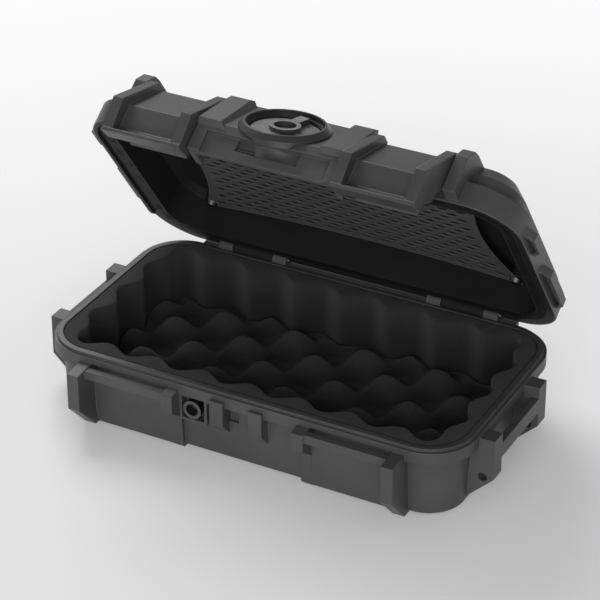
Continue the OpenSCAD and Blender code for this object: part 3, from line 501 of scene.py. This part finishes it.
def pad_height(x, y, rim, pitch, swell):
    """Egg-crate height: rows of round domes, where neighbouring rows are half a pitch apart. The product of
    two cosines, brought to 0 to 1, makes domes and dips. Its square and a soft step over it, added, give
    the domes broad round tops and keep the saddles between them low. Towards the rim the height goes to the
    border's, and the rim is rounded off by a quarter circle."""
    crate = np.cos(2 * math.pi * x / pitch) * np.cos(math.pi * (y - DOME_ROW) / DOME_ROW)
    dome = 0.5 * (1 + crate)
    crest = np.clip((dome - 0.15) / 0.85, 0, 1)
    lift = 0.36 * dome ** 2 + 0.64 * crest * crest * (3 - 2 * crest)
    near = np.clip(1 - rim / PAD_RIM, 0, 1)
    inner = np.clip(rim / PAD_BORDER, 0, 1)
    inner = inner * inner * (3 - 2 * inner)
    height = PAD_BORDER_Z + inner * (swell * lift - PAD_DIP)
    return height - PAD_RIM_DROP * (1 - np.sqrt(1 - 0.999 * near * near))


def corner_share():
    """The share of the way round the waves' middle line from a short side's middle to a corner's middle, to
    four digits: half the short straight and half a corner's arc, over all the straights and arcs."""
    long_side, short_side = (half - CASE_CORNER for half in CASE_HALF)
    quarter = math.pi / 2 * (CASE_CORNER - WAVE_IN)
    return round((short_side + quarter / 2) / (4 * (long_side + short_side + quarter)), 4)


def coons_patch(low, high, left, right):
    """Points (rows, columns, 2) inside four sides: the sum of the two blends between opposite sides, less
    the blend of the corners. Also gives the shares of the way across and up."""
    u = np.linspace(0, 1, len(low))[None, :, None]
    v = np.linspace(0, 1, len(left))[:, None, None]
    across = (1 - v) * low[None] + v * high[None]
    along = (1 - u) * left[:, None] + u * right[:, None]
    corners = (1 - v) * ((1 - u) * low[0] + u * low[-1]) + v * ((1 - u) * high[0] + u * high[-1])
    return across + along - corners, u[..., 0], v[..., 0]


def foam_pad_surface(pitch, swell, wave_amp, wave_count, columns, rows):
    """The pad's top and bottom as two grids with one outline, joined by a wall. The outline follows the
    liner's waves: its front, back, left and right are parts of the way round, from corner to corner. The
    inside is a Coons patch between those four, and the top's height is pad_height's."""
    corner = corner_share()
    sides = (
        (0.5 + corner, 1 - corner, columns),
        (0.5 - corner, corner, columns),
        (0.5 + corner, 0.5 - corner, rows),
        (-corner, corner, rows),
    )
    flat, u, v = coons_patch(*(wave_side(*side, PAD_GAP, wave_amp, wave_count) for side in sides))
    wide, deep = (2 * (half - WAVE_IN) for half in CASE_HALF)
    rim = np.minimum(np.minimum(u, 1 - u) * wide, np.minimum(v, 1 - v) * deep)
    top = np.dstack([flat, pad_height(flat[..., 0], flat[..., 1], rim, pitch, swell)])
    foot = np.dstack([flat, np.full(rim.shape, PAD_FOOT_Z)])
    faces = grid_faces(rows, columns)
    shift = rows * columns
    index = np.arange(shift).reshape(rows, columns)
    edge = np.concatenate([index[0, :-1], index[:-1, -1], index[-1, :0:-1], index[:0:-1, 0]])
    ahead = np.roll(edge, -1)
    side = np.stack([edge, edge + shift, ahead + shift, ahead], axis=1)
    points = np.concatenate([top.reshape(-1, 3), foot.reshape(-1, 3)])
    return points, np.concatenate([faces, faces[:, ::-1] + shift, side])


def net_place(u, v, half, bow):
    """Points of the flat net for u and v from -1 to 1. x is u times the half width less the bow times one
    minus v squared, and y likewise. So each side bows in, as a net does that is held at its corners."""
    x = u * (half[0] - bow[0] * (1 - v * v))
    y = v * (half[1] - bow[1] * (1 - u * u))
    return x, y


def brick_rings(lens):
    """Three rings of 12 points each, in shares of a brick: its outline, halfway in, and a hole. The hole is
    an ellipse whose sine has the power 1.2, which points its ends."""
    x = np.array([0, 1, 2, 3, 4, 4, 4, 3, 2, 1, 0, 0]) / 4 - 0.5
    y = np.array([0, 0, 0, 0, 0, 1, 2, 2, 2, 2, 2, 1]) / 2 - 0.5
    turn = np.arctan2(y, x)
    sine = np.sin(turn)
    hole_x = 0.5 * lens[0] * np.cos(turn)
    hole_y = 0.5 * lens[1] * np.sign(sine) * np.abs(sine) ** 1.2
    return np.stack([x, (x + hole_x) / 2, hole_x]), np.stack([y, (y + hole_y) / 2, hole_y])


def net_patches(across, down, lens, margin):
    """The patches of the net as (u, v, faces), with u and v from -1 to 1: for each row the rings of its
    bricks, where rows are half a brick apart, then the half bricks at the ends of every other row, and last
    the plain border out to the edge."""
    field_u, field_v = 1 - margin[0], 1 - margin[1]
    step_u, step_v = 2 * field_u / across, 2 * field_v / down
    ring_x, ring_y = brick_rings(lens)
    patches = []
    for row in range(down):
        odd = row % 2
        brick = np.arange(across - odd)[:, None, None]
        u = -field_u + (brick + 0.5 + 0.5 * odd + ring_x) * step_u
        v = np.broadcast_to(-field_v + (row + 0.5 + ring_y) * step_v, u.shape)
        faces = grid_faces(*ring_x.shape, False, True) + ring_x.size * brick
        patches.append((u, v, faces.reshape(-1, 4)))
        for side in (-1, 1) if odd else ():
            half_brick = side * (field_u - np.array([0, 0.25, 0.5]) * step_u)
            rise = -field_v + (row + np.array([0, 0.5, 1])) * step_v
            patches.append((*np.meshgrid(half_brick, rise), grid_faces(3, 3)))
    marks = []
    for field, step, parts in ((field_u, step_u / 4, 4 * across), (field_v, step_v / 2, 2 * down)):
        border = np.linspace(field, 1, BORDER_STRIPS + 1)[1:]
        marks.append(np.concatenate([-border[::-1], -field + np.arange(parts + 1) * step, border]))
    u, v = np.meshgrid(*marks)
    faces = grid_faces(*u.shape)
    row, column = np.divmod(faces[:, 0], u.shape[1])
    in_rows = (row >= BORDER_STRIPS) & (row < BORDER_STRIPS + 2 * down)
    in_columns = (column >= BORDER_STRIPS) & (column < BORDER_STRIPS + 4 * across)
    used, faces = np.unique(faces[~(in_rows & in_columns)], return_inverse=True)
    patches.append((u.ravel()[used], v.ravel()[used], faces.reshape(-1, 4)))
    return patches


def net_surface(half, bow, across, down, lens, margin):
    """The net's patches mapped onto its bowed outline and joined into one list of points and faces."""
    points, faces, start = [], [], 0
    for u, v, quads in net_patches(across, down, lens, margin):
        x, y = net_place(u, v, half, bow)
        points.append(np.stack([x.ravel(), y.ravel()], axis=1))
        faces.append(quads + start)
        start += u.size
    return np.concatenate(points), np.concatenate(faces)


def merged(piece, distance=0.00002):
    """Welds points that lie on each other, and turns all faces the same way."""
    bm = bmesh.new()
    bm.from_mesh(piece.data)
    bmesh.ops.remove_doubles(bm, verts=bm.verts, dist=distance)
    bmesh.ops.recalc_face_normals(bm, faces=bm.faces)
    bm.to_mesh(piece.data)
    bm.free()
    return piece


def band_surface(path, half_width, half_height):
    """A soft flat band carried along a closed path in the net's plane. Its profile is an oval whose cosine
    and sine have the powers 0.6 and 0.8, which makes it fuller at its corners."""
    ahead = np.roll(path, -1, 0) - np.roll(path, 1, 0)
    ahead /= np.linalg.norm(ahead, axis=1)[:, None]
    side = np.stack([ahead[:, 1], -ahead[:, 0]], axis=1)
    turn = np.linspace(0, 2 * math.pi, 12, endpoint=False)
    across = half_width * np.sign(np.cos(turn)) * np.abs(np.cos(turn)) ** 0.6
    up = half_height * np.sign(np.sin(turn)) * np.abs(np.sin(turn)) ** 0.8
    points = np.empty((len(path), len(turn), 3))
    points[..., 0] = path[:, 0:1] + side[:, 0:1] * across
    points[..., 1] = path[:, 1:2] + side[:, 1:2] * across
    points[..., 2] = up
    return points.reshape(-1, 3), grid_faces(len(path), len(turn), True, True)


# Settings

def grey_level(name, description, default):
    """A setting for how light something is, from black to white."""
    return bpy.props.FloatProperty(
        name=name, description=description, default=default, min=0.0, max=1.0, subtype="FACTOR"
    )


def length(name, description, default, most):
    """A setting for a length in metres."""
    return bpy.props.FloatProperty(
        name=name, description=description, default=default, min=0.0, max=most, precision=5, unit="LENGTH"
    )


def lamp_power(name, description, default):
    """A setting for a light's power in watts."""
    return bpy.props.FloatProperty(
        name=name, description=description, default=default, min=0.0, max=200.0, unit="POWER"
    )


class CaseLooks(bpy.types.PropertyGroup):
    shell_level: grey_level("Shell grey", "How light the moulded shells are", 0.056)
    latch_level: grey_level("Latch grey", "How light the latches are", 0.05)
    rough: grey_level("Shell roughness", "How matt the shells are", 0.46)
    grain: length("Shell grain", "Depth of the moulded grain", 0.00002, 0.001)


class FoamSizes(bpy.types.PropertyGroup):
    wave_amp: length("Wave depth", "How far each upright wave of the liner swings", 0.003, 0.0035)
    wave_count: bpy.props.IntProperty(
        name="Waves",
        description="Upright waves round the liner",
        default=22,
        min=8,
        max=40,
    )
    dome_pitch: length("Dome pitch", "Distance between the pad's domes in a row", 0.041, 0.06)
    dome_h: length("Dome height", "Height of the pad's domes over the dips", 0.012, 0.015)
    level: grey_level("Foam grey", "How light the foam is", 0.018)


class NetSizes(bpy.types.PropertyGroup):
    across: bpy.props.IntProperty(
        name="Holes across",
        description="Holes in a full row of the net",
        default=16,
        min=6,
        max=30,
    )
    down: bpy.props.IntProperty(
        name="Rows",
        description="Rows of holes",
        default=21,
        min=4,
        max=30,
    )
    level: grey_level("Net grey", "How light the net is", 0.047)


class StageLooks(bpy.types.PropertyGroup):
    floor: grey_level("Floor", "How light the floor is", 0.96)
    key: lamp_power("Key light", "Strength of the light from behind on the left", 16.0)
    fill: lamp_power("Fill light", "Strength of the light in front", 25.0)


# Operators

class FinishShells(bpy.types.Operator):
    """Gives the base and the lid their moulded plastic"""

    bl_idname = "gauge_case.finish_shells"
    bl_label = "Finish shells"

    def execute(self, context):
        looks = context.scene.case_looks
        shell = looks.shell_level, looks.rough, looks.grain
        # edge_radius softens the edges; the other value sets how strong their painted highlight is.
        base = moulded_plastic("case_plastic_moulded", *shell, edge_radius=0.0007, edge_highlight_share=0.35)
        lid_edges = {"edge_radius": 0.0009, "edge_highlight_share": 0.4}
        # The lid's hollow gets painted shade through inside_lid.
        lid = moulded_plastic("lid_plastic_moulded", *shell, **lid_edges, hollow=inside_lid)
        wear(["base_shell"], base)
        wear(["lid_shell"], lid)
        return {"FINISHED"}


class FinishLatches(bpy.types.Operator):
    """Gives the levers and the hooks their satin plastic"""

    bl_idname = "gauge_case.finish_latches"
    bl_label = "Finish latches"

    def execute(self, context):
        looks = context.scene.case_looks
        finish = looks.latch_level, looks.rough - 0.04, looks.grain * 0.7
        # The lever's edges get a painted highlight; the last value sets how strong it is.
        lever = moulded_plastic("latch_plastic_moulded", *finish, edge_radius=0.001, edge_highlight_share=0.5)
        hook = satin_plastic("hook_plastic_satin", looks.latch_level * 0.9, rough=0.4, edge_radius=0.0005)
        wear(["latch_lever_left", "latch_lever_right"], lever)
        wear(["latch_hook_left", "latch_hook_right"], hook)
        return {"FINISHED"}


class FinishValve(bpy.types.Operator):
    """Gives the valve its black plastic, grey dial, seal and membrane"""

    bl_idname = "gauge_case.finish_valve"
    bl_label = "Finish valve"

    def execute(self, context):
        looks = context.scene.case_looks
        black = looks.shell_level * 0.45
        bezel = satin_plastic("valve_plastic_satin", black, rough=0.36, edge_radius=0.0006)
        wear(["valve_bezel", "valve_body"], bezel)
        wear(["valve_dial"], dial_plastic("valve_grey_moulded", 0.22))
        wear(["valve_seal"], soft_rubber("valve_seal_rubber", 0.02))
        wear(["valve_membrane"], vent_membrane("valve_membrane_sheet"))
        return {"FINISHED"}


class FinishMetal(bpy.types.Operator):
    """Gives the pins, screws and the bush of the lock their steel"""

    bl_idname = "gauge_case.finish_metal"
    bl_label = "Finish metal parts"

    def execute(self, context):
        pins = ["hinge_pins", "latch_pins", "hook_pin_left", "hook_pin_right"]
        wear(pins, turned_metal("pin_steel_turned", 0.42, 0.28))
        wear(["lock_bush"], turned_metal("bush_steel_turned", 0.14, 0.26))
        wear(["net_screws"], turned_metal("screw_steel_black", 0.1, 0.38))
        return {"FINISHED"}


class FinishGasket(bpy.types.Operator):
    """Gives the lid's gasket its rubber"""

    bl_idname = "gauge_case.finish_gasket"
    bl_label = "Finish gasket"

    def execute(self, context):
        wear(["lid_gasket"], soft_rubber("gasket_rubber", 0.007))
        return {"FINISHED"}


class MakeFoamLiner(bpy.types.Operator):
    """Makes the foam liner with its upright waves and rounded lip"""

    bl_idname = "gauge_case.make_foam_liner"
    bl_label = "Make foam liner"

    def execute(self, context):
        sizes = context.scene.foam_sizes
        points, faces = foam_liner_surface(sizes.wave_amp / MM, sizes.wave_count, LINER_POINTS)
        level = sizes.level * 1.15
        # Painted shade: the liner's walls darken towards the bottom of the case.
        painted_height_shade = {"low": 10.0, "high": 40.0, "deep": 0.45}
        foam = foam_skin("foam_open_cell_liner", level, pore=1500.0, lift=0.00025, **painted_height_shade)
        liner = make_mesh("foam_liner_soft", points, faces, foam)
        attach(liner, "base")
        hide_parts("foam_liner")
        return {"FINISHED"}


class MakeFoamPad(bpy.types.Operator):
    """Makes the egg-crate foam pad on the floor of the base"""

    bl_idname = "gauge_case.make_foam_pad"
    bl_label = "Make foam pad"

    def execute(self, context):
        sizes = context.scene.foam_sizes
        pitch, swell, wave_amp = (x / MM for x in (sizes.dome_pitch, sizes.dome_h, sizes.wave_amp))
        points, faces = foam_pad_surface(pitch, swell, wave_amp, sizes.wave_count, PAD_COLUMNS, PAD_ROWS)
        # The pad is the liner's foam, painted lighter because its top faces the light.
        level = sizes.level * 1.8
        # Painted shade: the pad's dips are made darker than its crests.
        painted_height_shade = {"low": 8.5, "high": 19.0, "deep": 0.28}
        foam = foam_skin("foam_open_cell_pad", level, pore=1300.0, lift=0.0003, **painted_height_shade)
        pad = make_mesh("foam_pad_soft", points, faces, foam)
        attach(pad, "base")
        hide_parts("foam_pad")
        return {"FINISHED"}


class MakeNet(bpy.types.Operator):
    """Makes the lid's net with its lens-shaped holes, and its hem"""

    bl_idname = "gauge_case.make_net"
    bl_label = "Make net"

    def execute(self, context):
        sizes = context.scene.net_sizes
        cloth = net_cloth("net_knitted", sizes.level)
        flat, faces = net_surface(NET_HALF, NET_BOW, sizes.across, sizes.down, NET_LENS, NET_MARGIN)
        points = opened(np.column_stack([flat, np.full(len(flat), NET_Z)]))
        net = merged(make_mesh("lid_net_knitted", points, faces, cloth))
        thick = net.modifiers.new("thickness", "SOLIDIFY")
        thick.thickness = NET_T * MM
        thick.offset = 0.0
        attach(net, "lid")
        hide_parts("lid_net")
        hem = self.make_hem(cloth)
        return {"FINISHED"}

    @staticmethod
    def make_hem(cloth):
        """A band round the net, a little way in from its edge."""
        run, full = np.linspace(-1, 1, HEM_POINTS, endpoint=False), np.ones(HEM_POINTS)
        u = np.concatenate([run, full, -run, -full])
        v = np.concatenate([-full, run, full, -run])
        x, y = net_place(u, v, [half - HEM_IN for half in NET_HALF], NET_BOW)
        band, quads = band_surface(np.stack([x, y], axis=1), *HEM_HALF)
        band[:, 2] += NET_Z
        hem = merged(make_mesh("lid_net_hem", opened(band), quads, cloth))
        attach(hem, "lid")
        return hem


class MakeStage(bpy.types.Operator):
    """Makes the pale floor, the soft lights and the camera"""

    bl_idname = "gauge_case.make_stage"
    bl_label = "Make stage"

    def execute(self, context):
        looks = context.scene.stage_looks
        self.make_floor(looks.floor)
        self.make_light("key_light", KEY_PLACE, KEY_WIDTH, looks.key)
        self.make_light("fill_light", FILL_PLACE, FILL_WIDTH, looks.fill)
        self.make_world()
        self.make_camera()
        return {"FINISHED"}

    @staticmethod
    def make_floor(level):
        """A pale floor. To the camera and in reflections it glows a little, and more behind the case and
        far round it, so that it fades to white there."""
        points = np.array([[-1, -1, 0], [1, -1, 0], [1, 1, 0], [-1, 1, 0]]) * FLOOR_HALF / MM
        p = Paint("floor_pale")
        x, y = p.axis("X"), p.axis("Y")
        near = (y + x * 0.1).ramp(-0.35, 0.3)
        base = p.mix(near, grey(level * 0.98), grey(level * 1.02))
        matt = {"Base Color": base, "Roughness": 0.9, "Specular IOR Level": 0.1}
        shader = p.node("ShaderNodeBsdfPrincipled", {}, matt)
        rays = ("Is Camera Ray", "Is Glossy Ray", "Is Transmission Ray")
        seen, glossy, through = (p.node("ShaderNodeLightPath", {}, {}, ray) for ray in rays)
        behind = (y - x * 0.15).ramp(0.0, 0.75)
        around = ((x * x + y * y) ** 0.5).ramp(0.7, 2.2)
        far = (behind.most(around) * 0.84 + 0.16) * (seen + glossy + through).clamped()
        glow = p.node("ShaderNodeEmission", {}, {"Color": grey(1.0), "Strength": 1.0})
        mixed = p.node("ShaderNodeMixShader", {}, {0: far, 1: shader, 2: glow})
        p.tree.links.new(mixed.socket, p.out.inputs["Surface"])
        make_mesh("floor", points, [[0, 1, 2, 3]], p.material, False)

    @staticmethod
    def make_light(name, place, size, power):
        """A square lamp of a size in metres, turned to the case."""
        light = bpy.data.lights.new(name, "AREA")
        light.shape = "SQUARE"
        light.size = size
        light.energy = power
        lamp = bpy.data.objects.new(name, light)
        bpy.context.scene.collection.objects.link(lamp)
        lamp.location = place
        lamp.rotation_mode = "QUATERNION"
        lamp.rotation_quaternion = (Vector(LIT_POINT) - Vector(place)).to_track_quat("-Z", "Y")

    @staticmethod
    def make_world():
        """Even white light from all round."""
        world = bpy.data.worlds.new("studio")
        bpy.context.scene.world = world
        world.use_nodes = True
        back = world.node_tree.nodes["Background"]
        back.inputs["Color"].default_value = grey(1.0)
        back.inputs["Strength"].default_value = WORLD_LIGHT

    @staticmethod
    def make_camera():
        """The photograph's camera, with plain colours."""
        az, el = math.radians(CAMERA_AZIMUTH), math.radians(CAMERA_ELEVATION)
        back = Vector((math.sin(az) * math.cos(el), -math.cos(az) * math.cos(el), math.sin(el)))
        data = bpy.data.cameras.new("photo_camera")
        data.sensor_width = CAMERA_SENSOR
        data.lens = CAMERA_LENS
        camera = bpy.data.objects.new("photo_camera", data)
        bpy.context.scene.collection.objects.link(camera)
        camera.location = Vector(CAMERA_TARGET) + back * CAMERA_DISTANCE
        camera.rotation_mode = "QUATERNION"
        camera.rotation_quaternion = (-back).to_track_quat("-Z", "Y")
        bpy.context.scene.camera = camera
        bpy.context.scene.view_settings.view_transform = "Standard"


class GaugeCasePanel(bpy.types.Panel):
    """Lists the settings and the steps of the gauge case"""

    bl_idname = "VIEW3D_PT_gauge_case"
    bl_label = "Gauge case"
    bl_space_type = "VIEW_3D"
    bl_region_type = "UI"
    bl_category = "Gauge case"

    def draw(self, context):
        scene = context.scene
        for group in (scene.case_looks, scene.foam_sizes, scene.net_sizes, scene.stage_looks):
            box = self.layout.box()
            for key in group.bl_rna.properties.keys():
                if key not in ("rna_type", "name"):
                    box.prop(group, key)
        for step in STEPS:
            self.layout.operator(step.bl_idname)


GROUPS = {
    "case_looks": CaseLooks,
    "foam_sizes": FoamSizes,
    "net_sizes": NetSizes,
    "stage_looks": StageLooks,
}
STEPS = [
    FinishShells,
    FinishLatches,
    FinishValve,
    FinishMetal,
    FinishGasket,
    MakeFoamLiner,
    MakeFoamPad,
    MakeNet,
    MakeStage,
]


def register():
    for kind in (*GROUPS.values(), *STEPS, GaugeCasePanel):
        bpy.utils.register_class(kind)
    for name, kind in GROUPS.items():
        setattr(bpy.types.Scene, name, bpy.props.PointerProperty(type=kind))


def unregister():
    for name in GROUPS:
        delattr(bpy.types.Scene, name)
    for kind in (GaugeCasePanel, *reversed(STEPS), *GROUPS.values()):
        bpy.utils.unregister_class(kind)


def main():
    """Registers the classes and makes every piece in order."""
    register()
    steps = bpy.ops.gauge_case
    steps.finish_shells()
    steps.finish_latches()
    steps.finish_valve()
    steps.finish_metal()
    steps.finish_gasket()
    steps.make_foam_liner()
    steps.make_foam_pad()
    steps.make_net()
    steps.make_stage()
    bpy.context.view_layer.update()


if __name__ == "__main__":
    main()
